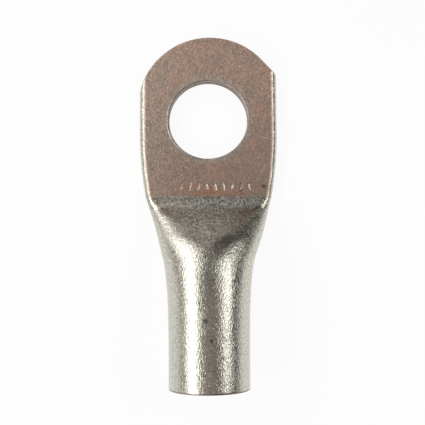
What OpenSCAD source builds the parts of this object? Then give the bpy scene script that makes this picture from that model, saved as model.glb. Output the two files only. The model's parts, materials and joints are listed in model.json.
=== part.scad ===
// Tubular copper cable lug for a 35 mm2 conductor and an M10 bolt.
// It is one length of copper tube. The barrel stays round, and the other end is pressed
// into a flat palm of two walls, punched for the bolt and sheared to a round tip.
// Origin: centre of the bolt hole on the contact face. +Y points to the tip, and +Z runs
// along the bolt, out of the top of the palm.

/* [Barrel] */
// Outside diameter of the round barrel
barrel_od = 10.2; // [9.6:0.1:11.2]
// Diameter of the bore that takes the conductor
bore_d = 8.0; // [7.2:0.1:8.4]
// From the bolt hole's centre to the cut end of the barrel
barrel_reach = 34.8; // [32:0.2:42]
// Depth of the straight round bore
bore_depth = 11; // [8:0.5:12]
// Lead-in chamfer inside the mouth
mouth_lead = 0.25; // [0.1:0.05:0.4]
// Broken outer edge of the mouth
mouth_edge = 0.1; // [0.05:0.05:0.2]

/* [Palm] */
// Width over the folded edges
palm_w = 18.4; // [17:0.2:20]
// Thickness of the two walls pressed together
palm_t = 1.8; // [1.5:0.1:2.2]
// Clearance hole for the bolt
bolt_hole_d = 10.5; // [8.4:0.1:11]
// Rounded edge that the punch leaves round the top of the hole
hole_roll = 0.18; // [0.1:0.02:0.3]
// From the hole's centre back to where the sides begin to draw in
straight_back = 1.5; // [0:0.1:3]
// How far each side has drawn in where the flat palm ends
side_draw = 0.82; // [0.4:0.02:1.2]

/* [Sheared tip] */
// From the bolt hole's centre to the end of the tip
tip_reach = 11.2; // [10.6:0.1:14]
// How much the tip's radius exceeds half the palm's width
tip_bulge = 0.4; // [0.3:0.05:0.8]
// Sideways offset of the tip's centre
tip_shift = 0.2; // [0:0.05:0.25]
// How far the sharp +X corner stands past the round of the tip
corner_stand = 1.1; // [0.6:0.1:1.4]
// Angle round the tip at which the straight cut to that corner starts
corner_start = 46; // [42:1:50]
// Depth of the seam between the two walls at the sheared edge
seam_depth = 0.4; // [0.2:0.1:0.8]
// Height of the seam
seam_gap = 0.08; // [0.06:0.01:0.12]

/* [Transition] */
// From the hole's centre back to the end of the flat palm
flat_back = 10.4; // [9.6:0.1:11.2]
// From the hole's centre back to the edge of the forming die
die_back = 19.1; // [17.5:0.1:20]
// How much wider than the barrel the tube is at the die's edge
die_spread = 1.24; // [0.6:0.02:1.5]
// From the die's edge back to where the tube is round again
recovery = 8.9; // [7:0.1:9.4]
// Slope of the crown as it falls to the palm
ramp_angle = 48; // [42:1:52]
// Radius that runs the ramp out into the flat palm
foot_radius = 2.4; // [1.6:0.2:5]
// Radius that turns the barrel's top line down into the ramp
crown_radius = 12; // [8:0.2:13]
// From the hole's centre back to where the pressed top has lost its flat
oval_back = 18; // [16:0.1:20]
// How far the neck leans off centre to +X, halfway along the ramp
neck_lean = 0.15; // [0:0.05:0.3]
// Fine step that the die leaves in the tube
die_step = 0.04; // [0.03:0.01:0.06]

/* [Hidden] */

TIN = "#b8b4a8";

// Sides of each section of the skin and of the cavity, in multiples of 4
SKIN_SIDES = 96;
CAVITY_SIDES = 48;
// Sides of the exact round surfaces
ROUND = 96;
// How far a cutter runs past the surface that it cuts
PAST = 1;
// Sharpness of the tube's recovery behind the die
RECOVERY_POWER = 2.5;
// The bore ends against a step of this height, where the mandrel stopped
MANDREL_STEP = 0.08;
// Half the height of the cavity's closed end, and how far it stops short of the palm
SLIT_HALF = 0.05;
SLIT_SHORT = 0.6;
// The straight cut to the sharp corner starts this far inside the round of the tip
CUT_INSET = 0.15;

barrel_r = barrel_od / 2;
bore_r = bore_d / 2;
bolt_hole_r = bolt_hole_d / 2;
barrel_wall = barrel_r - bore_r;
palm_wall = palm_t / 2;
skin_r = barrel_r + die_step;
axis_z = skin_r;
full_rise = 2 * skin_r - palm_t;
round_back = die_back + recovery;
foot_rise = foot_radius * (1 - cos(ramp_angle));
crown_rise = crown_radius * (1 - cos(ramp_angle));
crown_end = flat_back + (foot_radius + crown_radius) * sin(ramp_angle)
    + (full_rise - foot_rise - crown_rise) / tan(ramp_angle);
bore_back = barrel_reach - bore_depth;
die_half = (barrel_od + die_spread) / 2;
shoulder_half = palm_w / 2 - side_draw;
tip_r = palm_w / 2 + tip_bulge;
tip_y = tip_reach - tip_r;

function clamp(value, low, high) = min(max(value, low), high);

function smooth(value) =
    let (v = clamp(value, 0, 1))
    v * v * (3 - 2 * v);

function blend(from, to, share) = from + (to - from) * share;

// Every section of the pressed end is placed by its distance back from the bolt hole.

function half_width(back) =
    back <= straight_back ? palm_w / 2
    : back <= flat_back
        ? palm_w / 2 - side_draw * pow((back - straight_back) / (flat_back - straight_back), 2)
    : back <= die_back
        ? blend(shoulder_half, die_half, (back - flat_back) / (die_back - flat_back))
    : blend(skin_r, die_half, pow(max(0, 1 - (back - die_back) / recovery), RECOVERY_POWER));

// Rise of the crown above the palm: an arc out of the palm, a straight ramp, and an arc
// that ends level with the barrel's top line
function rise(back) =
    let (run = back - flat_back, crown_run = crown_end - back)
    run <= 0 ? 0
    : crown_run <= 0 ? full_rise
    : run < foot_radius * sin(ramp_angle)
        ? foot_radius - sqrt(pow(foot_radius, 2) - pow(run, 2))
    : crown_run < crown_radius * sin(ramp_angle)
        ? full_rise - crown_radius + sqrt(pow(crown_radius, 2) - pow(crown_run, 2))
    : foot_rise + (run - foot_radius * sin(ramp_angle)) * tan(ramp_angle);

function height(back) = palm_t + rise(back);

// Half width of a section's rounded ends, from a folded edge to a full oval
function end_width(back) =
    blend(palm_t / 2, half_width(back), smooth((back - flat_back) / (oval_back - flat_back)));

// Sideways place of a section's middle
function lean(back) =
    neck_lean * pow(sin(180 * clamp((back - flat_back) / (die_back - flat_back), 0, 1)), 2);

function wall(back) = blend(palm_wall, barrel_wall, rise(back) / full_rise);

// Top of the cavity, with the wall measured square to the sloping crown
function cavity_top(back) =
    let (run = 0.05, slope = (height(back + run) - height(back - run)) / (2 * run))
    height(back) - wall(back) * sqrt(1 + slope * slope);

// A section: two half ovals, each end_half wide, held apart by whatever is left of the width.
// Its corners keep their share of the width from one section to the next.
function ring(back, half_w, end_half, half_h, mid_z, sides) =
    [for (i = [0:sides - 1])
        let (turn = 360 * i / sides, x = half_w * cos(turn))
        let (past = max(0, abs(x) - half_w + end_half) / end_half)
        [x + lean(back), -back, mid_z + sign(sin(turn)) * half_h * sqrt(max(0, 1 - past * past))]];

function skin_ring(back) =
    ring(back, half_width(back), end_width(back), height(back) / 2, height(back) / 2, SKIN_SIDES);

function cavity_ring(back) =
    let (top = cavity_top(back), bottom = wall(back))
    ring(back, half_width(back) - bottom, max(end_width(back) - bottom, SLIT_HALF),
        max((top - bottom) / 2, SLIT_HALF), (top + bottom) / 2, CAVITY_SIDES);

function mandrel_ring(back) =
    let (r = bore_r - MANDREL_STEP)
    ring(back, r, r, r, axis_z, CAVITY_SIDES);

// Distances back of the skin's sections, closest where the shape turns fastest
SKIN_STATIONS = concat(
    [for (i = [0:8]) die_back + recovery * pow(1 - i / 8, 1.4)],
    [for (i = [1:14]) blend(die_back, flat_back + foot_radius * sin(ramp_angle), i / 14)],
    [for (i = [1:8]) flat_back + foot_radius * sin(ramp_angle * (1 - i / 8))],
    [for (i = [1:6]) blend(flat_back, straight_back, i / 6)],
    [-tip_reach - PAST]);

CAVITY_STATIONS = concat(
    [for (i = [1:10]) blend(bore_back, flat_back + 2, i / 10)],
    [for (i = [1:5]) blend(flat_back + 2, flat_back + SLIT_SHORT, i / 5)]);

// A closed solid through rings of equal length, listed from the barrel towards the tip
module loft(rings) {
    count = len(rings[0]);
    last = (len(rings) - 1) * count;
    sides = [for (r = [0:len(rings) - 2], i = [0:count - 1], upper = [0, 1])
        let (a = r * count + i, b = r * count + (i + 1) % count)
        upper == 0 ? [a, b, a + count] : [b, b + count, a + count]];
    near_cap = [for (i = [count - 1:-1:0]) i];
    far_cap = [for (i = [0:count - 1]) last + i];
    polyhedron([for (r = rings) each r], concat([near_cap, far_cap], sides));
}

// Lays a shape that was drawn up along Z back along the barrel's axis, from a distance back
module along_barrel(back) {
    translate([0, -back, axis_z])
        rotate([90, 0, 0])
            children();
}

module barrel() {
    long = barrel_reach - round_back;
    along_barrel(round_back)
        rotate_extrude($fn = ROUND)
            polygon([[0, 0], [barrel_r, 0], [barrel_r, long - mouth_edge],
                [barrel_r - mouth_edge, long], [0, long]]);
}

module bore() {
    along_barrel(bore_back)
        rotate_extrude($fn = ROUND)
            polygon([[0, 0], [bore_r, 0], [bore_r, bore_depth - mouth_lead],
                [bore_r + mouth_lead + PAST, bore_depth + PAST], [0, bore_depth + PAST]]);
}

module cavity() {
    loft(concat([mandrel_ring(bore_back + 0.5), mandrel_ring(bore_back)],
        [for (back = CAVITY_STATIONS) cavity_ring(back)]));
}

// The bolt hole, with the punch's rounded edge as two cones
module bolt_hole() {
    near = hole_roll * (1 - cos(45));
    far = 2 * hole_roll - near;
    rotate_extrude($fn = ROUND)
        polygon([[0, -PAST], [bolt_hole_r, -PAST], [bolt_hole_r, palm_t - hole_roll],
            [bolt_hole_r + near, palm_t - near],
            [bolt_hole_r + near + 2 * (hole_roll - near), palm_t + near],
            [bolt_hole_r + far, palm_t + PAST], [0, palm_t + PAST]]);
}

// What the shear keeps of the tip: a round, and a straight cut out to the sharp corner
module tip_keep() {
    side = palm_w / 2;
    round_y = tip_y + sqrt(pow(tip_r, 2) - pow(side - tip_shift, 2));
    corner = [side, round_y + corner_stand];
    start = [tip_shift, tip_y] + (tip_r - CUT_INSET) * [cos(corner_start), sin(corner_start)];
    out = corner + PAST * (corner - start) / norm(corner - start);
    translate([tip_shift, tip_y, -2 * PAST])
        cylinder(h = palm_t + 4 * PAST, r = tip_r, $fn = ROUND);
    translate([0, 0, -2 * PAST])
        linear_extrude(palm_t + 4 * PAST)
            polygon([[tip_shift, tip_y], [out[0], tip_y], out, start]);
}

module tip_waste() {
    wide = palm_w + 2 * PAST;
    difference() {
        translate([-wide / 2, tip_y, -PAST])
            cube([wide, tip_reach - tip_y + 2 * PAST, palm_t + 2 * PAST]);
        tip_keep();
    }
}

// The hairline between the two walls, open at the sheared edge and closed at the folds
module seam() {
    between_folds = palm_w - palm_t;
    intersection() {
        translate([-between_folds / 2, tip_y + 1, (palm_t - seam_gap) / 2])
            cube([between_folds, tip_r, seam_gap]);
        difference() {
            translate([tip_shift, tip_y, 0])
                cylinder(h = palm_t, r = tip_r + PAST, $fn = ROUND);
            translate([tip_shift, tip_y, -PAST])
                cylinder(h = palm_t + 2 * PAST, r = tip_r - seam_depth, $fn = ROUND);
        }
    }
}

module cable_lug() {
    color(TIN)
        difference() {
            union() {
                barrel();
                loft([for (back = SKIN_STATIONS) skin_ring(back)]);
            }
            bore();
            cavity();
            bolt_hole();
            tip_waste();
            seam();
        }
}

cable_lug();
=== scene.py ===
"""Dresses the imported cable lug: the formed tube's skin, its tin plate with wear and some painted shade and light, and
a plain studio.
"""

import json
import math
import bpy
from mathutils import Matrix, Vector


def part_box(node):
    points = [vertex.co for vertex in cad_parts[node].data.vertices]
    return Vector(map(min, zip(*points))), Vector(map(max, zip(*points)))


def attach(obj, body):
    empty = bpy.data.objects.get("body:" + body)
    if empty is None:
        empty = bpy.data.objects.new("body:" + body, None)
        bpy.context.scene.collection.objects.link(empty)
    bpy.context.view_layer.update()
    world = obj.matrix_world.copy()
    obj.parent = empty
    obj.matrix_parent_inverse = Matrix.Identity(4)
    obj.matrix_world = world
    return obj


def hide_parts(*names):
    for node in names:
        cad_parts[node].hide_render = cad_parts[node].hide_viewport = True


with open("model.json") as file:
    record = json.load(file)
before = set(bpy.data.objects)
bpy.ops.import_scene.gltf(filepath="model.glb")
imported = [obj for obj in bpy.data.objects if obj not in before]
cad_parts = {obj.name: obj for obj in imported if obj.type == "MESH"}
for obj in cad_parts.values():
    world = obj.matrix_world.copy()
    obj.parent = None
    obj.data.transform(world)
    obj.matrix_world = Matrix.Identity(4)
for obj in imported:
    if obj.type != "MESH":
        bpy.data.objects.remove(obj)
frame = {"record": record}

from types import SimpleNamespace

import bmesh
import bpy
import numpy as np
from bpy.props import FloatProperty, IntProperty, PointerProperty, StringProperty
from mathutils import Matrix, Vector

bl_info = {
    "name": "Tubular Cable Lug",
    "version": (1, 0, 0),
    "blender": (4, 5, 0),
    "location": "3D View > Sidebar > Cable Lug",
    "description": "Makes the dressed skin of a tubular cable lug around its packed solid, and a plain studio for it",
    "category": "Object",
}

NODE = "cable_lug"
MM = 0.001
LOW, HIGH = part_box(NODE)
MOUNTS = {mount["name"]: mount for mount in frame["record"]["mounts"]}

# Sides of every section of the tube, a multiple of 4
SIDES = 256
# Sharpness of the tube's recovery behind the forming die
RECOVERY_POWER = 2.5
# The bore ends against a step of this height, where the mandrel stopped
MANDREL_STEP = 0.08 * MM
# Half the height of the hollow's closed end, and how far it stops short of the palm
SLIT_HALF = 0.05 * MM
SLIT_SHORT = 0.6 * MM
# The palm is meshed round the bolt hole this far past its edge
HOLE_MARGIN = 1.35 * MM
# Rounded lower edge of the bolt hole
LOW_ROLL = 0.07 * MM
# Folds sharper than this shade as edges
SHARP_ANGLE = math.radians(32)
# The strokes' middles stand this far above the palm, so that no face of theirs lies in it
STROKE_LIFT = 0.01 * MM
# Painted shade of single small knocks on the upper side: place across and along, and radius, in mm
PAINTED_KNOCK_SHADES = ((0.5, -11.55, 0.35), (-0.4, -26.1, 0.45), (1.6, -30.5, 0.3), (7.3, -9.05, 0.35), (0.3, -28.4, 0.25))
# The die pressed a V out of the barrel behind the palm: how much faster it narrows than it runs back
VEE_SLOPE = 1.1
# The bump's heights are in units of this
BUMP_UNIT = 0.012 * MM

# Half the side of the square floor
FLOOR_HALF = 2.0
# Gap between the floor and the underside, so that the two never share a plane
FLOOR_GAP = 0.02 * MM
# Share of the floor's white that the lug's shadow can't darken
FLOOR_GLOW = 0.93
# Studio lamps stand this far from the bolt hole
LAMP_DISTANCE = 0.6
# The room is lighter towards the left and the barrel's mouth, and darker towards the right and the tip
LIGHT_SIDE = (-0.82, -0.53, 0.22)
# The camera stands over the lug, in mm, tips towards the bolt hole and rolls a little
CAMERA_PLACE = (0.5, -20.488, 95.366)
CAMERA_TIP = 0.0855
CAMERA_ROLL = -0.0064


def length(name, description, default):
    """A size in metres that the sidebar shows in the scene's unit."""
    return FloatProperty(name=name, description=description, default=default, min=0.0, unit="LENGTH", precision=5)


def degrees(name, description, default):
    """An angle, given and shown in degrees and kept in radians."""
    return FloatProperty(name=name, description=description, default=math.radians(default), subtype="ANGLE")


def light_level(name, description, default):
    """The brightness of a lamp or of part of the room."""
    return FloatProperty(name=name, description=description, default=default, min=0.0)


def paint(name, description, default):
    """A colour written as sRGB hex."""
    return StringProperty(name=name, description=description, default=default)


def mount_diameter(name):
    """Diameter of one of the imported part's round mounts."""
    return 2 * MOUNTS[name]["dims"]["r_mm"] * MM


class LugShape(bpy.types.PropertyGroup):
    """Sizes of the tube, its pressed end and its sheared tip."""

    barrel_reach: length("Barrel reach", "From the bolt hole's centre to the cut end of the barrel", -LOW.y)
    barrel_d: length("Barrel diameter", "Outside of the round barrel", mount_diameter("barrel_outside"))
    bore_d: length("Bore", "Round bore that takes the conductor", mount_diameter("barrel_bore"))
    bore_depth: length("Bore depth", "Straight round part of the bore", 11 * MM)
    mouth_lead: length("Mouth lead-in", "Chamfer inside the mouth", 0.25 * MM)
    mouth_edge: length("Mouth edge", "Broken outer edge of the mouth", 0.1 * MM)
    palm_w: length("Palm width", "Over the folded edges", 2 * HIGH.x)
    palm_t: length("Palm thickness", "The two walls pressed together", 1.8 * MM)
    hole_d: length("Bolt hole", "Clearance hole for the bolt", mount_diameter("bolt_hole"))
    hole_roll: length("Hole roll", "Rounded edge round the top of the hole, before it varies", 0.18 * MM)
    straight_back: length("Straight sides", "From the hole's centre back to where the sides begin to draw in", 1.5 * MM)
    side_draw: length("Side draw", "How far each side has drawn in where the flat palm ends", 0.82 * MM)
    tip_reach: length("Tip reach", "From the bolt hole's centre to the end of the tip", HIGH.y)
    tip_bulge: length("Tip bulge", "How much the tip's radius exceeds half the palm's width", 0.4 * MM)
    tip_shift: length("Tip shift", "Sideways offset of the tip's centre", 0.2 * MM)
    corner_stand: length("Corner stand", "How far the sharp corner stands past the round of the tip", 1.1 * MM)
    corner_start: degrees("Corner start", "Angle round the tip at which the straight cut to the corner starts", 46)
    shear_roll: length("Shear roll", "Rounded top edge that the shear leaves", 0.1 * MM)
    seam_depth: length("Seam depth", "Hairline between the two walls at a cut edge", 0.22 * MM)
    seam_gap: length("Seam gap", "Height of that hairline", 0.07 * MM)
    flat_back: length("Palm end", "From the hole's centre back to the end of the flat palm", 10.4 * MM)
    die_back: length("Die edge", "From the hole's centre back to the edge of the forming die", 19.1 * MM)
    die_spread: length("Die spread", "How much wider than the barrel the tube is at the die's edge", 1.24 * MM)
    recovery: length("Recovery", "From the die's edge back to where the tube is round again", 8.9 * MM)
    ramp_angle: degrees("Ramp angle", "Slope of the crown as it falls to the palm", 48)
    foot_radius: length("Foot radius", "Runs the ramp out into the flat palm", 2.4 * MM)
    crown_radius: length("Crown radius", "Turns the barrel's top line down into the ramp", 12 * MM)
    oval_back: length("Full oval", "From the hole's centre back to where the top has lost its flat", 18 * MM)
    neck_lean: length("Neck lean", "How far the neck leans off centre, halfway along the ramp", 0.15 * MM)


class LugFinish(bpy.types.PropertyGroup):
    """Wear and marks on the lug."""

    mark_count: IntProperty(name="Marks", description="Plain tally strokes struck across the palm", default=9, min=1)
    mark_pitch: length("Mark pitch", "Distance between strokes", 1.12 * MM)
    mark_length: length("Mark length", "Length of a stroke before it varies", 1.35 * MM)
    mark_width: length("Mark width", "Width of a stroke", 0.36 * MM)
    mark_depth: length("Mark depth", "How deep a stroke is struck", 0.14 * MM)
    mark_row: length("Mark row", "From the end of the flat palm forward to the row of strokes", 1.35 * MM)
    mark_shift: length("Mark shift", "From the middle of the palm to the middle of the row, to the right", 0.9 * MM)
    dent_depth: length("Dent depth", "Unevenness left by forming and tumbling", 0.012 * MM)
    dent_size: length("Dent size", "Breadth of that unevenness", 1.6 * MM)
    seed: IntProperty(name="Seed", description="Picks another arrangement of marks and dents", default=7)
    tin: paint("Tin", "Colour of the tin plate, as hex", "#cac7bb")
    # Darker than the tin, partly as painted shade of the pressed V
    dull_and_painted_shade: paint("Dulled plate", "Colour of the plate where the die pressed it, as hex", "#b1aea5")
    # Also painted along the rim of the pressed V as a pink reflection of the room
    worn_and_painted_reflection: paint("Worn plate", "Colour where copper shows through thin tin, as hex", "#caa08b")
    copper: paint("Copper", "Colour of bare cut copper, as hex", "#855d4b")
    roughness: FloatProperty(
        name="Roughness", description="Satin of the plate", default=0.21, min=0.0, max=1.0, subtype="FACTOR"
    )


class LugStage(bpy.types.PropertyGroup):
    """Floor, lamps, room, black card and camera."""

    floor: paint("Floor", "Colour of the floor, as hex", "#f4f4f4")
    key: light_level("Left softbox", "Radiance of the left softbox", 4.0)
    fill: light_level("Right softbox", "Radiance of the right softbox", 3.4)
    low: light_level("Low softbox", "Radiance of the low softbox behind the left shoulder", 1.5)
    light_side: light_level("Light side", "Radiance of the room's lighter side, to the left", 0.46)
    dark_side: light_level("Dark side", "Radiance of the room's darker side, to the right", 0.0)
    card_distance: length("Card distance", "From the bolt hole's centre to the black card", 40 * MM)
    card_width: length("Card width", "Width of the black card", 80 * MM)
    card_height: length("Card height", "Height of the black card", 15 * MM)
    card_turn: degrees("Card turn", "How far the card is turned round the bolt hole", -25)
    focal: FloatProperty(name="Focal length", description="Of the camera's lens", default=60.33, min=1.0, unit="CAMERA")


# ---- Small helpers


def smooth(value):
    v = np.clip(value, 0.0, 1.0)
    return v * v * (3 - 2 * v)


def blend(start, end, share):
    return start + (end - start) * share


def linear(hex_colour):
    """A colour written as sRGB hex, in linear light, with alpha 1."""
    parts = [int(hex_colour[i : i + 2], 16) / 255 for i in (1, 3, 5)]
    return (*[p / 12.92 if p <= 0.04045 else ((p + 0.055) / 1.055) ** 2.4 for p in parts], 1.0)


def per_size(size_mm):
    """Texture scale at which a pattern's features come out this many millimetres across."""
    return 1 / (size_mm * MM)


def add(tree, kind, inputs=None, **settings):
    """A node with its settings, and its inputs set to values or linked from other nodes' sockets."""
    made = tree.nodes.new(kind)
    for name, value in settings.items():
        setattr(made, name, value)
    for name, value in (inputs or {}).items():
        if isinstance(value, bpy.types.NodeSocket):
            tree.links.new(value, made.inputs[name])
        else:
            made.inputs[name].default_value = value
    return made


def settled(piece):
    """A plain mesh of the piece with its modifiers applied and taken off."""
    bpy.context.view_layer.update()
    graph = bpy.context.evaluated_depsgraph_get()
    mesh = bpy.data.meshes.new_from_object(piece.evaluated_get(graph))
    piece.modifiers.clear()
    old, piece.data = piece.data, mesh
    bpy.data.meshes.remove(old)
    mesh.name = piece.name
    return piece


def link(name, data):
    """An object in the scene that shows this mesh, lamp or lens."""
    piece = bpy.data.objects.new(name, data)
    bpy.context.scene.collection.objects.link(piece)
    return piece


# ---- Form of the tube


class Form:
    """The tube's section at any distance back from the bolt hole, in metres."""

    def __init__(self, shape):
        self.s = shape
        self.axis_z = HIGH.z / 2
        self.barrel_r = shape.barrel_d / 2
        self.full_rise = HIGH.z - shape.palm_t
        self.round_back = shape.die_back + shape.recovery
        self.foot = shape.foot_radius * math.sin(shape.ramp_angle)
        self.crown = shape.crown_radius * math.sin(shape.ramp_angle)
        arc_share = 1 - math.cos(shape.ramp_angle)
        self.foot_rise = shape.foot_radius * arc_share
        straight_rise = self.full_rise - self.foot_rise - shape.crown_radius * arc_share
        self.crown_end = shape.flat_back + self.foot + self.crown + straight_rise / math.tan(shape.ramp_angle)
        self.tip_r = shape.palm_w / 2 + shape.tip_bulge
        self.tip_y = shape.tip_reach - self.tip_r

    def half_width(self, back):
        s = self.s
        die_half = (s.barrel_d + s.die_spread) / 2
        shoulder = s.palm_w / 2 - s.side_draw
        drawn = np.clip((back - s.straight_back) / (s.flat_back - s.straight_back), 0, 1)
        palm = s.palm_w / 2 - s.side_draw * drawn**2
        neck = blend(shoulder, die_half, (back - s.flat_back) / (s.die_back - s.flat_back))
        sprung = np.clip(1 - (back - s.die_back) / s.recovery, 0, 1) ** RECOVERY_POWER
        barrel = blend(self.axis_z, die_half, sprung)
        return np.where(back <= s.flat_back, palm, np.where(back <= s.die_back, neck, barrel))

    def rise(self, back):
        s = self.s
        run = back - s.flat_back
        left = self.crown_end - back
        low = s.foot_radius - np.sqrt(s.foot_radius**2 - np.clip(run, 0, self.foot) ** 2)
        high = self.full_rise - s.crown_radius + np.sqrt(s.crown_radius**2 - np.clip(left, 0, self.crown) ** 2)
        ramp = self.foot_rise + (run - self.foot) * math.tan(s.ramp_angle)
        return np.where(run < self.foot, low, np.where(left < self.crown, high, ramp))

    def height(self, back):
        return self.s.palm_t + self.rise(back)

    def end_width(self, back):
        s = self.s
        share = smooth((back - s.flat_back) / (s.oval_back - s.flat_back))
        return blend(s.palm_t / 2, self.half_width(back), share)

    def lean(self, back):
        s = self.s
        share = np.clip((back - s.flat_back) / (s.die_back - s.flat_back), 0, 1)
        return s.neck_lean * np.sin(math.pi * share) ** 2

    def wall(self, back):
        s = self.s
        return blend(s.palm_t / 2, (s.barrel_d - s.bore_d) / 2, self.rise(back) / self.full_rise)

    def rings(self, back, half_w, end_half, half_h, mid_z):
        """One closed section per distance back, as points[section, side, xyz]."""
        back, half_w, end_half, half_h, mid_z = (
            np.broadcast_to(v, np.shape(back))[:, None] for v in (back, half_w, end_half, half_h, mid_z)
        )
        turn = np.arange(SIDES) * 2 * math.pi / SIDES
        x = half_w * np.cos(turn)
        past = np.clip(np.abs(x) - half_w + end_half, 0, None) / end_half
        z = mid_z + np.sign(np.round(np.sin(turn), 9)) * half_h * np.sqrt(np.clip(1 - past**2, 0, None))
        return np.stack([x + self.lean(back), np.broadcast_to(-back, x.shape), z], axis=-1)

    def skin(self, back):
        """The outside, where the fine step that the die left runs out softly to the drawn barrel."""
        tall = self.height(back) / 2
        slim = (self.axis_z - self.barrel_r) * smooth((back - self.round_back + MM) / (2 * MM))
        wide = self.half_width(back) - slim
        return self.rings(back, wide, self.end_width(back) - slim, tall - slim, tall)

    def cavity(self, back):
        """The hollow behind the palm, with the wall measured square to the sloping crown."""
        step = 0.05 * MM
        slope = (self.height(back + step) - self.height(back - step)) / (2 * step)
        under = self.wall(back)
        top = self.height(back) - under * np.sqrt(1 + slope**2)
        return self.rings(
            back,
            self.half_width(back) - under,
            np.maximum(self.end_width(back) - under, SLIT_HALF),
            np.maximum((top - under) / 2, SLIT_HALF),
            (top + under) / 2,
        )

    def round_rings(self, back, radius):
        return self.rings(np.asarray(back, float), np.asarray(radius, float), radius, radius, self.axis_z)

    def cut(self, x):
        """Where the shear cuts the tip, for a place across the palm."""
        s = self.s
        half = s.palm_w / 2
        arc = self.tip_y + np.sqrt(np.clip(self.tip_r**2 - (x - s.tip_shift) ** 2, 0, None))
        start_x = s.tip_shift + self.tip_r * math.cos(s.corner_start)
        start_y = self.tip_y + self.tip_r * math.sin(s.corner_start)
        corner_y = self.tip_y + math.sqrt(self.tip_r**2 - (half - s.tip_shift) ** 2) + s.corner_stand
        line = start_y + (x - start_x) * (corner_y - start_y) / (half - start_x)
        return np.where(x > start_x, np.maximum(arc, line), arc)


class Shell:
    """Points and faces of the lug's one closed skin, gathered strip by strip."""

    def __init__(self):
        self.points, self.cut, self.faces, self.count = [], [], [], 0

    def add(self, points, cut=0.0):
        """Takes an array of points and returns their numbers in the same layout. Cut is 1 on sheared faces."""
        shape = points.shape[:-1]
        total = int(np.prod(shape))
        index = np.arange(self.count, self.count + total).reshape(shape)
        self.points.append(points.reshape(-1, 3))
        self.cut.append(np.full(total, cut))
        self.count += total
        return index

    def strip(self, first, second, keep=None):
        """Quads between two closed loops of equal length, or only those that keep allows."""
        near, far = np.roll(first, -1), np.roll(second, -1)
        quads = np.stack([first, near, far, second], axis=-1)
        self.faces += (quads if keep is None else quads[keep]).tolist()

    def mesh(self, name):
        mesh = bpy.data.meshes.new(name)
        mesh.from_pydata(np.concatenate(self.points).tolist(), [], self.faces)
        wear = mesh.attributes.new("cut", "FLOAT", "POINT")
        wear.data.foreach_set("value", np.concatenate(self.cut).astype(np.float32))
        work = bmesh.new()
        work.from_mesh(mesh)
        bmesh.ops.delete(work, geom=[v for v in work.verts if not v.link_faces], context="VERTS")
        bmesh.ops.recalc_face_normals(work, faces=work.faces)
        work.to_mesh(mesh)
        work.free()
        return mesh


def inner_rings(form):
    """From the closed end of the hollow out to the mouth's lead-in."""
    s = form.s
    bore_back = s.barrel_reach - s.bore_depth
    bore_r = s.bore_d / 2
    hollow = form.cavity(np.linspace(s.flat_back + SLIT_SHORT, bore_back, 34))
    stopped = bore_r - MANDREL_STEP
    bore = form.round_rings(
        [bore_back, bore_back, *np.linspace(bore_back + 0.4 * MM, s.barrel_reach - s.mouth_lead, 14)],
        [stopped, bore_r, *[bore_r] * 14],
    )
    mouth = form.round_rings([s.barrel_reach] * 2, [bore_r + s.mouth_lead, form.barrel_r - s.mouth_edge])
    return hollow, bore, mouth


def outer_rings(form):
    """From the mouth's outer edge to the last section of the palm with straight sides."""
    s = form.s
    turn = np.radians([30, 60])
    edge = form.round_rings(
        s.barrel_reach - s.mouth_edge * (1 - np.cos(turn)), form.barrel_r - s.mouth_edge * (1 - np.sin(turn))
    )
    back = np.concatenate(
        [
            np.linspace(s.barrel_reach - s.mouth_edge, form.round_back, 26),
            blend(s.die_back, form.round_back, np.linspace(1, 0, 40)[1:] ** 1.2),
            np.linspace(s.die_back, s.flat_back, 44)[1:],
            np.linspace(s.flat_back, -MM, 52)[1:],
        ]
    )
    return edge, form.skin(back)


def tip_rings(form, last, edge_roll, count=48):
    """Fans the palm's last section out to the sheared outline, less the rolled edge."""
    x = last[:, 0]
    goal = form.cut(x) - edge_roll
    share = np.linspace(0, 1, count + 1)[1:, None]
    rows = np.repeat(last[None], count, axis=0)
    rows[:, :, 1] = blend(last[:, 1], goal, share)
    return rows


def window(skin, points, form, low_side):
    """The cells of the palm that make room for the bolt hole, and the loop of points round them."""
    reach = form.s.hole_d / 2 + HOLE_MARGIN
    half = SIDES // 2
    middle = points[:, half // 2, 1]
    rows = np.flatnonzero((middle > -reach) & (middle < reach + 0.3 * MM))
    columns = np.flatnonzero(np.abs(points[rows[0], :half, 0]) < reach)
    first, last = rows[0], rows[-1]
    right, left = columns[0], columns[-1]

    def column(i):
        return (SIDES - i) % SIDES if low_side else i

    loop = [(first, i) for i in range(right, left)]
    loop += [(r, left) for r in range(first, last)]
    loop += [(last, i) for i in range(left, right, -1)]
    loop += [(r, right) for r in range(last, first, -1)]
    cells = {(r, column(i + 1) if low_side else column(i)) for r in range(first, last) for i in range(right, left)}
    rim = [(r, column(i)) for r, i in loop]
    return cells, np.array([skin[r, i] for r, i in rim]), np.array([points[r, i] for r, i in rim])


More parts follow.
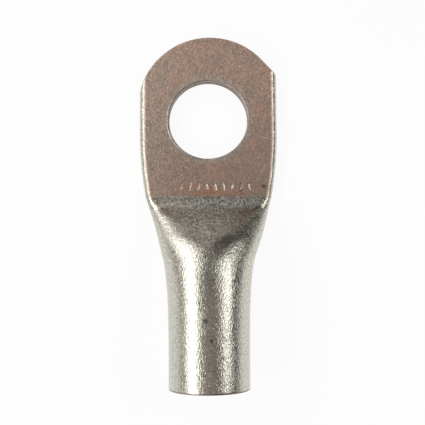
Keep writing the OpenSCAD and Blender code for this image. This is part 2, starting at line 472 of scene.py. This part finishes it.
def punch_hole(shell, form, top, bottom):
    """Rings from the palm's top round the rolled edge, down the wall past the seam, and out underneath."""
    s = form.s
    (top_index, top_points), (low_index, low_points) = top, bottom
    angle = np.arctan2(top_points[:, 1], top_points[:, 0])
    reach = np.hypot(top_points[:, 0], top_points[:, 1])
    hole_r = s.hole_d / 2
    # The punch leaned a little, so the roll is broad on the left, and narrow on the right and towards the tip
    lean, oval = np.cos(angle - math.radians(200)), np.cos(2 * (angle - math.radians(25)))
    roll = s.hole_roll * (1.4 + 0.9 * lean + 0.4 * oval)
    middle, gap = s.palm_t / 2, s.seam_gap

    def ring(radius, z):
        radius = np.broadcast_to(radius, angle.shape)
        return np.stack([radius * np.cos(angle), radius * np.sin(angle), np.broadcast_to(z, angle.shape)], axis=-1)

    rings = [(ring(blend(reach, hole_r + roll, t), s.palm_t), 0.0) for t in (0.2, 0.4, 0.6, 0.8, 0.93)]
    for turn in np.radians(np.linspace(0, 90, 9)):
        sine, cosine = math.sin(turn), math.cos(turn)
        bare = max(0.0, 2 * sine - 1)
        rings.append((ring(hole_r + roll * (1 - sine), s.palm_t - roll * (1 - cosine)), bare))
    wall = [
        (middle + 1.3 * gap, 0.0),
        (middle + 0.6 * gap, 0.25 * gap),
        (middle + 0.3 * gap, s.seam_depth / 2),
        (middle - 0.3 * gap, s.seam_depth / 2),
        (middle - 0.6 * gap, 0.25 * gap),
        (middle - 1.3 * gap, 0.0),
        (LOW_ROLL, 0.0),
    ]
    rings += [(ring(hole_r + inset, z), 1.0) for z, inset in wall]
    rings.append((ring(hole_r + LOW_ROLL, 0.0), 0.6))
    rings += [(ring(blend(hole_r + LOW_ROLL, reach, t), 0.0), 0.0) for t in (0.25, 0.6)]
    loops = [top_index] + [shell.add(points, cut) for points, cut in rings] + [low_index]
    for first, second in zip(loops, loops[1:]):
        shell.strip(first, second)


def shear_tip(shell, form, index, points, edge_roll, steep):
    """The sheared face between the top and the underside of the tip, with the seam of the two walls in it."""
    s = form.s
    half = SIDES // 2
    across = np.arange(1, half)
    top, low = points[across], points[SIDES - across]
    x, cut_y = top[:, 0], form.cut(top[:, 0])
    tall = top[:, 2] - low[:, 2]
    share = tall / s.palm_t
    middle = (top[:, 2] + low[:, 2]) / 2
    roll, steep = edge_roll[across] / steep[across], steep[across]
    seam = s.seam_depth * smooth((s.palm_w / 2 - 0.8 * MM - np.abs(x)) / (0.5 * MM))
    gap = s.seam_gap * share
    # Below the seam the metal tore a little unevenly
    torn = 0.02 * MM * (np.sin(x / (0.31 * MM)) + np.sin(x / (0.17 * MM) + 1.3))

    def row(inset, z):
        return np.stack([x, cut_y - inset * steep, z], axis=-1)

    rows = [row(roll * (1 - math.sin(a)), top[:, 2] - roll * (1 - math.cos(a))) for a in np.radians([22, 45, 68, 90])]
    rows += [
        row(0.0, middle + 1.2 * gap),
        row(seam * 0.5, middle + 0.5 * gap),
        row(seam, middle),
        row(seam * 0.5, middle - 0.5 * gap),
        row(0.0, middle - 1.2 * gap),
        row(0.02 * MM + torn, middle - 0.25 * tall),
        row(0.03 * MM - torn * 0.6, low[:, 2] + 0.06 * tall),
    ]
    made = [index[across], *[shell.add(r, 1.0) for r in rows], index[SIDES - across]]
    for upper, lower in zip(made, made[1:]):
        shell.faces += np.stack([upper[:-1], upper[1:], lower[1:], lower[:-1]], axis=-1).tolist()
    shell.faces.append([int(index[0]), *[int(m[0]) for m in made]])
    shell.faces.append([int(index[half]), *[int(m[-1]) for m in made[::-1]]])


def close_slit(shell, loop):
    """Closes the flat end of the hollow."""
    half = SIDES // 2
    for i in range(half):
        corners = [loop[i], loop[i + 1], loop[SIDES - i - 1], loop[(SIDES - i) % SIDES]]
        shell.faces.append([int(c) for c in dict.fromkeys(corners)])


def tube_mesh(form):
    """The whole lug as one closed mesh."""
    s = form.s
    shell = Shell()
    hollow, bore, mouth = inner_rings(form)
    edge, body = outer_rings(form)
    last = body[-1]
    thick = np.abs(last[:, 2] - s.palm_t / 2) / (s.palm_t / 2)
    probe = 0.01 * MM
    slope = (form.cut(last[:, 0] + probe) - form.cut(last[:, 0] - probe)) / (2 * probe)
    steep = np.sqrt(1 + np.clip(slope, -6, 6) ** 2)
    edge_roll = s.shear_roll * thick * steep
    palm = np.concatenate([body, tip_rings(form, last, edge_roll)])

    inside = np.concatenate([shell.add(hollow), shell.add(bore)])
    cut_end = shell.add(mouth, 1.0)
    rounded = shell.add(edge, 0.7)
    skin = shell.add(palm)
    rows = np.concatenate([inside, cut_end, rounded])
    for first, second in zip(rows, rows[1:]):
        shell.strip(first, second)
    shell.strip(rows[-1], skin[0])
    close_slit(shell, rows[0])

    top_cells, top_rim, top_points = window(skin, palm, form, low_side=False)
    low_cells, low_rim, low_points = window(skin, palm, form, low_side=True)
    taken = top_cells | low_cells
    for r in range(len(skin) - 1):
        keep = np.array([(r, i) not in taken for i in range(SIDES)])
        shell.strip(skin[r], skin[r + 1], keep)
    punch_hole(shell, form, (top_rim, top_points), (low_rim, low_points))
    shear_tip(shell, form, skin[-1], palm[-1], edge_roll, steep)
    return shell.mesh("lug_tube")


# ---- Marks and wear


def geometry_tree(name, **inputs):
    """A Geometry Nodes tree with these named inputs, and the sockets that bring them in."""
    tree = bpy.data.node_groups.new(name, "GeometryNodeTree")
    for label, kind in inputs.items():
        tree.interface.new_socket(label, in_out="INPUT", socket_type=f"NodeSocket{kind}")
    tree.interface.new_socket("Geometry", in_out="OUTPUT", socket_type="NodeSocketGeometry")
    return tree, add(tree, "NodeGroupInput").outputs


def close_tree(tree, geometry, material):
    """Makes the tree's result real, gives it the material and sends it out."""
    real = add(tree, "GeometryNodeRealizeInstances", {"Geometry": geometry}).outputs[0]
    done = add(tree, "GeometryNodeSetMaterial", {"Geometry": real, "Material": material}).outputs[0]
    add(tree, "NodeGroupOutput", {"Geometry": done})
    return tree


def strokes_tree(material):
    """Geometry Nodes: a row of rounded strokes, each turned up to 18 degrees and sized a little differently."""
    tree, given = geometry_tree(
        "Struck strokes", Count="Int", Pitch="Float", Length="Float", Width="Float", Depth="Float", Seed="Int"
    )

    def varied(low, high):
        """A random vector between these two for each stroke."""
        inputs = {"Min": low, "Max": high, "Seed": given["Seed"]}
        return add(tree, "FunctionNodeRandomValue", inputs, data_type="FLOAT_VECTOR").outputs[0]

    pitch = add(tree, "ShaderNodeCombineXYZ", {"X": given["Pitch"]}).outputs[0]
    inputs = {"X": given["Width"], "Y": given["Length"], "Z": given["Depth"]}
    size = add(tree, "ShaderNodeCombineXYZ", inputs).outputs[0]
    line = add(tree, "GeometryNodeMeshLine", {"Count": given["Count"], "Offset": pitch}).outputs[0]
    ball = add(tree, "GeometryNodeMeshUVSphere", {"Segments": 20, "Rings": 12, "Radius": 0.5}).outputs[0]
    stroke = add(tree, "GeometryNodeTransform", {"Geometry": ball, "Scale": size}).outputs[0]
    inputs = {
        "Points": line,
        "Instance": stroke,
        # In radians
        "Rotation": varied((-0.05, -0.05, -0.32), (0.05, 0.05, 0.32)),
        "Scale": varied((0.7, 0.4, 0.55), (1.1, 1.0, 1.0)),
    }
    return close_tree(tree, add(tree, "GeometryNodeInstanceOnPoints", inputs).outputs[0], material)


def uneven_tree(material):
    """Geometry Nodes: presses the skin in a little, here and there, along its own normals."""
    tree, given = geometry_tree("Tumbled skin", Geometry="Geometry", Depth="Float", Size="Float", Seed="Int")
    scale = add(tree, "ShaderNodeMath", {0: 1.0, 1: given["Size"]}, operation="DIVIDE").outputs[0]
    lumps = add(
        tree, "ShaderNodeTexNoise", {"W": given["Seed"], "Scale": scale, "Detail": 1.0}, noise_dimensions="4D"
    ).outputs[0]
    inward = add(tree, "ShaderNodeMath", {0: given["Depth"], 1: -1.0}, operation="MULTIPLY").outputs[0]
    press = add(tree, "ShaderNodeMath", {0: lumps, 1: inward}, operation="MULTIPLY").outputs[0]
    normal = add(tree, "GeometryNodeInputNormal").outputs[0]
    offset = add(tree, "ShaderNodeVectorMath", {0: normal, "Scale": press}, operation="SCALE").outputs[0]
    moved = add(tree, "GeometryNodeSetPosition", {"Geometry": given["Geometry"], "Offset": offset}).outputs[0]
    return close_tree(tree, moved, material)


def give_nodes(piece, tree, **values):
    """Puts a node tree on the piece with its named inputs set."""
    modifier = piece.modifiers.new(tree.name, "NODES")
    modifier.node_group = tree
    for item in tree.interface.items_tree:
        key = item.name.lower()
        if item.in_out == "INPUT" and key in values:
            modifier[item.identifier] = values[key]
    return modifier


# ---- Finish


class Pattern:
    """The nodes that a surface pattern is written with, under short names. Each returns its node's socket."""

    def __init__(self, tree):
        self.tree = tree
        self.place = add(tree, "ShaderNodeTexCoord").outputs["Object"]
        self.x, self.y, self.z = add(tree, "ShaderNodeSeparateXYZ", {0: self.place}).outputs

    def maths(self, operation, first, second=0.0):
        return add(self.tree, "ShaderNodeMath", {0: first, 1: second}, operation=operation).outputs[0]

    def times(self, first, second):
        return self.maths("MULTIPLY", first, second)

    def plus(self, first, second):
        return self.maths("ADD", first, second)

    def larger(self, first, second):
        return self.maths("MAXIMUM", first, second)

    def rest(self, share):
        """What a share leaves of 1."""
        return self.maths("SUBTRACT", 1.0, share)

    def darker(self, share, depth):
        """1, less this depth where the share is full."""
        return self.rest(self.times(share, depth))

    def distance(self, x, y, middle=(0.0, 0.0, 0.0)):
        """Distance of the point (x, y) from a middle."""
        point = add(self.tree, "ShaderNodeCombineXYZ", {"X": x, "Y": y}).outputs[0]
        return add(self.tree, "ShaderNodeVectorMath", {0: point, 1: middle}, operation="DISTANCE").outputs["Value"]

    def ramp(self, value, low, high, out_low, out_high, shape_of="LINEAR"):
        """Goes from one output to the other while the value goes from low to high, and stays there."""
        inputs = {"Value": value, "From Min": low, "From Max": high, "To Min": out_low, "To Max": out_high}
        return add(self.tree, "ShaderNodeMapRange", inputs, interpolation_type=shape_of).outputs[0]

    def rise(self, value, low, high, out_low=0.0, out_high=1.0):
        """A ramp with soft ends."""
        return self.ramp(value, low, high, out_low, out_high, "SMOOTHSTEP")

    def fall(self, value, low, high):
        """From 1 to 0, with soft ends."""
        return self.rise(value, low, high, 1.0, 0.0)

    def spots(self, size_mm, detail=2.0, rough=0.5):
        """Blotches this many millimetres across."""
        inputs = {"Vector": self.place, "Scale": per_size(size_mm), "Detail": detail, "Roughness": rough}
        return add(self.tree, "ShaderNodeTexNoise", inputs).outputs[0]

    def scratches(self, turn, size_mm=(0.16, 0.42, 0.24)):
        """Fine short scratches that run one way, between 0 and 1."""
        turned = (0.3, -0.2, math.radians(turn))
        inputs = {"Vector": self.place, "Rotation": turned, "Scale": [per_size(size) for size in size_mm]}
        at = add(self.tree, "ShaderNodeMapping", inputs).outputs[0]
        inputs = {"Vector": at, "Scale": 1.0, "Detail": 2.0, "Roughness": 0.6}
        return self.rise(add(self.tree, "ShaderNodeTexNoise", inputs).outputs[0], 0.36, 0.64)

    def tinted(self, share, base, hex_colour):
        """The base colour, with another over it where the share is full."""
        inputs = {0: share, 6: base, 7: linear(hex_colour)}
        return add(self.tree, "ShaderNodeMix", inputs, data_type="RGBA").outputs[2]

    def only(self, share, factor):
        """The factor where the share is full, and 1 elsewhere."""
        return add(self.tree, "ShaderNodeMix", {0: share, 2: 1.0, 3: factor}).outputs[0]


def lug_places(p, shape):
    """Where on the lug the surface changes: shares between 0 and 1, and two distances."""
    hole_r, bore_r = shape.hole_d / 2, shape.bore_d / 2
    bore_back = shape.barrel_reach - shape.bore_depth
    from_hole = p.distance(p.x, p.y)
    from_axis = p.distance(p.x, p.maths("SUBTRACT", p.z, shape.barrel_d / 2))
    palm = p.rise(p.y, -shape.flat_back - 0.1 * MM, -shape.flat_back + 0.2 * MM)
    on_top = p.rise(p.z, shape.palm_t - 0.15 * MM, shape.palm_t - 0.02 * MM)
    back = p.times(p.plus(p.y, shape.flat_back), -VEE_SLOPE)
    vee = p.plus(p.maths("ABSOLUTE", p.x), back)
    off_middle = p.maths("ABSOLUTE", p.maths("SUBTRACT", p.x, 1 * MM))
    mouth = p.fall(p.y, 0.06 * MM - shape.barrel_reach, 0.24 * MM - shape.barrel_reach)
    sheared = add(p.tree, "ShaderNodeAttribute", attribute_name="cut").outputs["Fac"]
    return SimpleNamespace(
        from_hole=from_hole,
        back=back,
        # The washer face, and the part of it that the punch burnished
        flat=p.times(palm, on_top),
        burnished=p.rise(from_hole, hole_r + 0.1 * MM, hole_r + 1.3 * MM, 0.45, 1.0),
        # The lip and the wall of the bolt hole
        lip=p.fall(from_hole, hole_r + 0.06 * MM, hole_r + 0.16 * MM),
        # Round the strokes
        struck=p.times(p.fall(p.y, -9.7 * MM, -8.3 * MM), p.fall(off_middle, 3.5 * MM, 6.5 * MM)),
        # Inside the V that the die pressed, where shade and light are painted into the colour, and along its rim, where
        # a pink reflection is painted
        pressed=p.times(p.fall(vee, 5.5 * MM, 9 * MM), p.rest(palm)),
        rim=p.times(p.rise(vee, 6.5 * MM, 8.2 * MM), p.fall(vee, 8.2 * MM, 10.5 * MM)),
        # The mouth's edge, every cut edge, and the inside of the bore
        mouth=mouth,
        cut=p.larger(sheared, mouth),
        inside=p.times(
            p.fall(from_axis, bore_r + 0.05 * MM, bore_r + 0.3 * MM), p.fall(p.y, -bore_back - 0.7 * MM, -bore_back)
        ),
        upper=p.rise(p.z, 1 * MM, 1.5 * MM),
    )


def plate_colour(p, at, finish, patches, mottle, speckle, grain):
    """Warm grey tin, copper where it is thin, dulled where the die pressed it, and dark copper where it was cut, with
    painted shade and light in the pressed V, a painted pink reflection along its rim and painted shade of small knocks.
    """
    copper = p.plus(p.ramp(p.plus(patches, mottle), 0.7, 1.3, 0.35, 0.75), p.times(speckle, 0.15))
    copper = p.times(copper, p.rise(p.x, -9 * MM, -3 * MM, 0.7, 1.0))
    copper = p.plus(copper, p.times(at.struck, p.rise(patches, 0.4, 0.6, 0.1, 0.45)))
    worn_and_painted_reflection = p.times(p.times(at.flat, at.burnished), copper)
    # Along the V's rim the copper colour is painted in as a pink reflection of the room
    worn_and_painted_reflection = p.larger(worn_and_painted_reflection, p.times(at.rim, p.times(patches, 0.2)))
    colour = p.tinted(worn_and_painted_reflection, linear(finish.tin), finish.worn_and_painted_reflection)
    colour = p.tinted(at.pressed, colour, finish.dull_and_painted_shade)
    colour = p.tinted(p.times(at.cut, 0.7), colour, finish.copper)

    shade = p.times(p.ramp(mottle, 0.35, 0.65, 0.92, 1.06), p.ramp(speckle, 0.0, 1.0, 0.84, 1.12))
    # The pressed V is grainier. Painted shade darkens it beside the palm, painted light brightens it further back, and
    # it is painted a little lighter on the left and darker on the right
    dull_and_painted_shade = p.times(p.ramp(grain, 0.5, 1.6, 0.47, 1.5), p.ramp(mottle, 0.35, 0.65, 0.76, 1.28))
    dull_and_painted_shade = p.times(dull_and_painted_shade, p.rise(at.back, 1.1 * MM, 1.95 * MM, 0.74, 1.18))
    dull_and_painted_shade = p.times(dull_and_painted_shade, p.rise(at.back, 2.2 * MM, 4.5 * MM, 1.0, 0.95))
    dull_and_painted_shade = p.times(dull_and_painted_shade, p.rise(p.x, -5 * MM, 5 * MM, 1.07, 0.93))
    shade = p.times(shade, p.only(at.pressed, dull_and_painted_shade))
    # The palm is lighter towards its tip
    shade = p.times(shade, p.only(at.flat, p.ramp(p.y, -9 * MM, 9 * MM, 0.88, 1.16)))
    shade = p.times(shade, p.darker(at.lip, 0.4))
    shade = p.times(shade, p.darker(at.mouth, 0.5))
    # Painted shade round each knock, darkest in its middle
    for x, y, radius in PAINTED_KNOCK_SHADES:
        away = p.plus(p.distance(p.x, p.y, (x * MM, y * MM, 0.0)), p.times(mottle, 0.3 * MM))
        painted_knock_shade = p.rise(away, (0.1 + 0.4 * radius) * MM, (0.2 + radius) * MM, 0.65, 0.0)
        shade = p.times(shade, p.rest(p.times(at.upper, painted_knock_shade)))
    return add(p.tree, "ShaderNodeVectorMath", {0: colour, "Scale": shade}, operation="SCALE").outputs[0]


def plate_roughness(p, at, finish, patches, mottle):
    """Satin, rougher where the plate is worn, pressed or cut, and in the bore."""
    rough = p.plus(p.ramp(p.plus(patches, mottle), 0.7, 1.3, -0.04, 0.06), finish.roughness)
    for share, more in ((at.flat, 0.18), (at.inside, 0.3), (at.cut, 0.15), (at.pressed, 0.2)):
        rough = p.plus(rough, p.times(share, more))
    return rough


def plate_bump(p, at, mottle, grain):
    """Grain, mottling, and rare pits half a millimetre or more apart that glint. Deepest pits on the palm."""
    cells = add(p.tree, "ShaderNodeTexVoronoi", {"Vector": p.place, "Scale": per_size(0.55)}).outputs
    picked = add(p.tree, "ShaderNodeSeparateXYZ", {0: cells["Color"]}).outputs["X"]
    pits = p.times(p.fall(cells["Distance"], 0.05, 0.2), p.rise(picked, 0.86, 0.9))
    height = p.plus(p.times(grain, p.plus(p.times(at.pressed, 0.2), 0.6)), p.times(mottle, 1.5))
    height = p.maths("SUBTRACT", height, p.times(pits, p.plus(p.times(at.flat, 3.0), 1.5)))
    return add(p.tree, "ShaderNodeBump", {"Height": height, "Strength": 1.0, "Distance": BUMP_UNIT}).outputs[0]


def tinned_copper(finish, shape):
    """Drawn copper tube under a thin tumbled tin plate. The plate is a warm grey satin that mirrors softly; on the
    pressed palm the tin is so thin that pink copper shows, and it is greyer where the punch burnished it. Its colour
    also holds painted shade and light in the pressed V, a painted pink reflection along the V's rim and painted shade
    of small knocks."""
    material = bpy.data.materials.new("tinned_copper_tube")
    material.use_nodes = True
    tree = material.node_tree
    tree.nodes.clear()
    p = Pattern(tree)
    # Patches of wear are about 2 mm across, mottling 0.4 mm and specks 0.27 mm. The grain is scratches
    # 0.2 to 0.4 mm long that lie every way, as loose parts leave on each other in a tumbling barrel
    patches, mottle = p.spots(2.0), p.spots(0.4, 3.0, 0.6)
    speckle = p.rise(p.spots(0.27, 2.0, 0.7), 0.36, 0.64)
    grain = p.plus(p.larger(p.scratches(25), p.scratches(-38)), p.scratches(82))
    at = lug_places(p, shape)
    surface = {
        "Base Color": plate_colour(p, at, finish, patches, mottle, speckle, grain),
        "Metallic": 1.0,
        "Roughness": plate_roughness(p, at, finish, patches, mottle),
        "Normal": plate_bump(p, at, mottle, grain),
    }
    add(tree, "ShaderNodeOutputMaterial", {"Surface": add(tree, "ShaderNodeBsdfPrincipled", surface).outputs[0]})
    return material


def black_paper():
    """Black paper. Almost no light comes back from it."""
    material = bpy.data.materials.new("black_paper")
    material.use_nodes = True
    inputs = material.node_tree.nodes["Principled BSDF"].inputs
    inputs["Base Color"].default_value = linear("#1c1b1a")
    inputs["Roughness"].default_value = 0.9
    return material


def pale_floor(stage):
    """Matt white paper. What looks at it directly or in the metal sees plain white, less the lug's soft shadow."""
    material = bpy.data.materials.new("white_paper")
    material.use_nodes = True
    tree = material.node_tree
    tree.nodes.clear()
    rays = add(tree, "ShaderNodeLightPath").outputs
    seen = rays["Is Camera Ray"]
    for kind in ("Is Glossy Ray", "Is Transmission Ray"):
        seen = add(tree, "ShaderNodeMath", {0: seen, 1: rays[kind]}, operation="MAXIMUM").outputs[0]
    share = add(tree, "ShaderNodeMath", {0: seen, 1: FLOOR_GLOW}, operation="MULTIPLY").outputs[0]
    paper = add(tree, "ShaderNodeBsdfDiffuse", {"Color": linear(stage.floor)}).outputs[0]
    white = add(tree, "ShaderNodeEmission", {"Color": (1, 1, 1, 1), "Strength": 1.0}).outputs[0]
    mixed = add(tree, "ShaderNodeMixShader", {0: share, 1: paper, 2: white}).outputs[0]
    add(tree, "ShaderNodeOutputMaterial", {"Surface": mixed})
    return material


# ---- Stage


def softbox(name, radiance, lean, spread, reach, turn=0):
    """A soft lamp that faces the bolt hole. It leans this many degrees to one side of upright, spreads this wide,
    and reaches from one angle to another along the lug, with the tip's end positive, before its turn round the lug."""
    start, end = (LAMP_DISTANCE * math.tan(math.radians(angle)) for angle in reach)
    lamp = bpy.data.lights.new(name, "AREA")
    lamp.shape = "RECTANGLE"
    lamp.size = 2 * LAMP_DISTANCE * math.tan(math.radians(spread) / 2)
    lamp.size_y = end - start
    lamp.energy = radiance * math.pi * lamp.size * lamp.size_y
    aim = Matrix.Rotation(math.radians(turn), 4, "Z") @ Matrix.Rotation(math.radians(lean), 4, "Y")
    link(name, lamp).matrix_world = aim @ Matrix.Translation((0, (start + end) / 2, LAMP_DISTANCE))


def sheet(name, corners, material):
    """One flat face of the stage."""
    mesh = bpy.data.meshes.new(name)
    mesh.from_pydata(corners, [], [(0, 1, 2, 3)])
    mesh.materials.append(material)
    return link(name, mesh)


def lay_floor(stage):
    """A square of white paper just under the lug."""
    signs = ((-1, -1), (1, -1), (1, 1), (-1, 1))
    corners = [(x * FLOOR_HALF, y * FLOOR_HALF, LOW.z - FLOOR_GAP) for x, y in signs]
    floor = sheet("floor", corners, pale_floor(stage))


def stand_card(stage):
    """A low black card beyond the tip, which the steep ramp and the neck mirror and the camera doesn't see."""
    turn = Matrix.Rotation(stage.card_turn, 4, "Z")
    middle = turn @ Vector((0, stage.card_distance, 0))
    along = turn @ Vector((stage.card_width / 2, 0, 0))
    foot, top = LOW.z - FLOOR_GAP, stage.card_height
    sides = [(middle + along * side, z) for side, z in ((-1, foot), (1, foot), (1, top), (-1, top))]
    card = sheet("dark_card", [(at.x, at.y, z) for at, z in sides], black_paper())
    card.visible_camera = False


def dim_room(stage):
    """A room that the metal mirrors, light on one side and dark on the other. The camera sees plain white."""
    world = bpy.data.worlds.new("dim_room")
    world.use_nodes = True
    tree = world.node_tree
    tree.nodes.clear()
    toward = add(tree, "ShaderNodeTexCoord").outputs["Generated"]
    facing = add(tree, "ShaderNodeVectorMath", {0: toward, 1: LIGHT_SIDE}, operation="DOT_PRODUCT").outputs["Value"]
    inputs = {"Value": facing, "From Min": -1.0, "From Max": 1.0, "To Min": stage.dark_side, "To Max": stage.light_side}
    light = add(tree, "ShaderNodeMapRange", inputs).outputs[0]
    room = add(tree, "ShaderNodeBackground", {"Color": linear("#fff6f2"), "Strength": light}).outputs[0]
    white = add(tree, "ShaderNodeBackground", {"Color": linear("#ffffff"), "Strength": 1.0}).outputs[0]
    seen = add(tree, "ShaderNodeLightPath").outputs["Is Camera Ray"]
    surface = add(tree, "ShaderNodeMixShader", {0: seen, 1: room, 2: white}).outputs[0]
    add(tree, "ShaderNodeOutputWorld", {"Surface": surface})
    return world


def overhead_camera(stage):
    """A camera over the lug that looks almost straight down."""
    lens = bpy.data.cameras.new("camera")
    lens.lens = stage.focal
    lens.sensor_width = 36.0
    lens.clip_start, lens.clip_end = 0.005, 50.0
    camera = link("camera", lens)
    turn = Matrix.Rotation(CAMERA_TIP, 4, "X") @ Matrix.Rotation(CAMERA_ROLL, 4, "Z")
    camera.matrix_world = Matrix.Translation([value * MM for value in CAMERA_PLACE]) @ turn
    return camera


# ---- Operators


class LUG_OT_make_lug(bpy.types.Operator):
    """Forms the lug's skin, strikes the marks, tumbles it and plates it"""

    bl_idname = "lug.make_lug"
    bl_label = "Make cable lug"

    def execute(self, context):
        shape, finish = context.scene.lug_shape, context.scene.lug_finish
        material = tinned_copper(finish, shape)
        lug = link("lug_formed_tube", tube_mesh(Form(shape)))
        lug.data.materials.append(material)

        strokes = link("lug_strokes", bpy.data.meshes.new("lug_strokes"))
        give_nodes(
            strokes,
            strokes_tree(material),
            count=finish.mark_count,
            pitch=finish.mark_pitch,
            length=finish.mark_length,
            width=finish.mark_width,
            depth=2 * finish.mark_depth,
            seed=finish.seed,
        )
        settled(strokes)
        start_x = finish.mark_shift - finish.mark_pitch * (finish.mark_count - 1) / 2
        row_y = finish.mark_row - shape.flat_back
        strokes.data.transform(Matrix.Translation((start_x, row_y, shape.palm_t + STROKE_LIFT)))
        strike = lug.modifiers.new("Strike", "BOOLEAN")
        strike.operation = "DIFFERENCE"
        strike.solver = "EXACT"
        strike.object = strokes
        settled(lug)
        bpy.data.objects.remove(strokes)

        give_nodes(lug, uneven_tree(material), depth=finish.dent_depth, size=finish.dent_size, seed=finish.seed)
        settled(lug)
        lug.data.shade_smooth()
        lug.data.set_sharp_from_angle(angle=SHARP_ANGLE)
        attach(lug, "root")
        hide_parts(NODE)
        return {"FINISHED"}


class LUG_OT_make_stage(bpy.types.Operator):
    """Lays the floor, hangs three softboxes in a dim room, stands the black card and sets the camera"""

    bl_idname = "lug.make_stage"
    bl_label = "Make stage"

    def execute(self, context):
        scene, stage = context.scene, context.scene.lug_stage
        lay_floor(stage)
        softbox("softbox_left", stage.key, lean=-47.5, spread=20, reach=(-60, 68))
        softbox("softbox_right", stage.fill, lean=49, spread=16, reach=(-20, 45), turn=9)
        softbox("softbox_low", stage.low, lean=-77, spread=16, reach=(-12, 12), turn=-49)
        stand_card(stage)
        scene.world = dim_room(stage)
        scene.camera = overhead_camera(stage)
        scene.view_settings.view_transform = "Standard"
        return {"FINISHED"}


class LUG_PT_sidebar(bpy.types.Panel):
    """Lists the lug's sizes, its finish and the stage"""

    bl_idname = "LUG_PT_sidebar"
    bl_label = "Tubular Cable Lug"
    bl_space_type = "VIEW_3D"
    bl_region_type = "UI"
    bl_category = "Cable Lug"

    def draw(self, context):
        for group, operator in (("lug_shape", None), ("lug_finish", LUG_OT_make_lug), ("lug_stage", LUG_OT_make_stage)):
            box = self.layout.box()
            settings = getattr(context.scene, group)
            for name in type(settings).__annotations__:
                box.prop(settings, name)
            if operator:
                box.operator(operator.bl_idname)


CLASSES = (LugShape, LugFinish, LugStage, LUG_OT_make_lug, LUG_OT_make_stage, LUG_PT_sidebar)
SETTINGS = {"lug_shape": LugShape, "lug_finish": LugFinish, "lug_stage": LugStage}


def register():
    for cls in CLASSES:
        bpy.utils.register_class(cls)
    for name, group in SETTINGS.items():
        setattr(bpy.types.Scene, name, PointerProperty(type=group))


def unregister():
    for name in SETTINGS:
        delattr(bpy.types.Scene, name)
    for cls in reversed(CLASSES):
        bpy.utils.unregister_class(cls)


def main():
    register()
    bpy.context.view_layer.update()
    bpy.ops.lug.make_stage()
    bpy.ops.lug.make_lug()


if __name__ == "__main__":
    main()
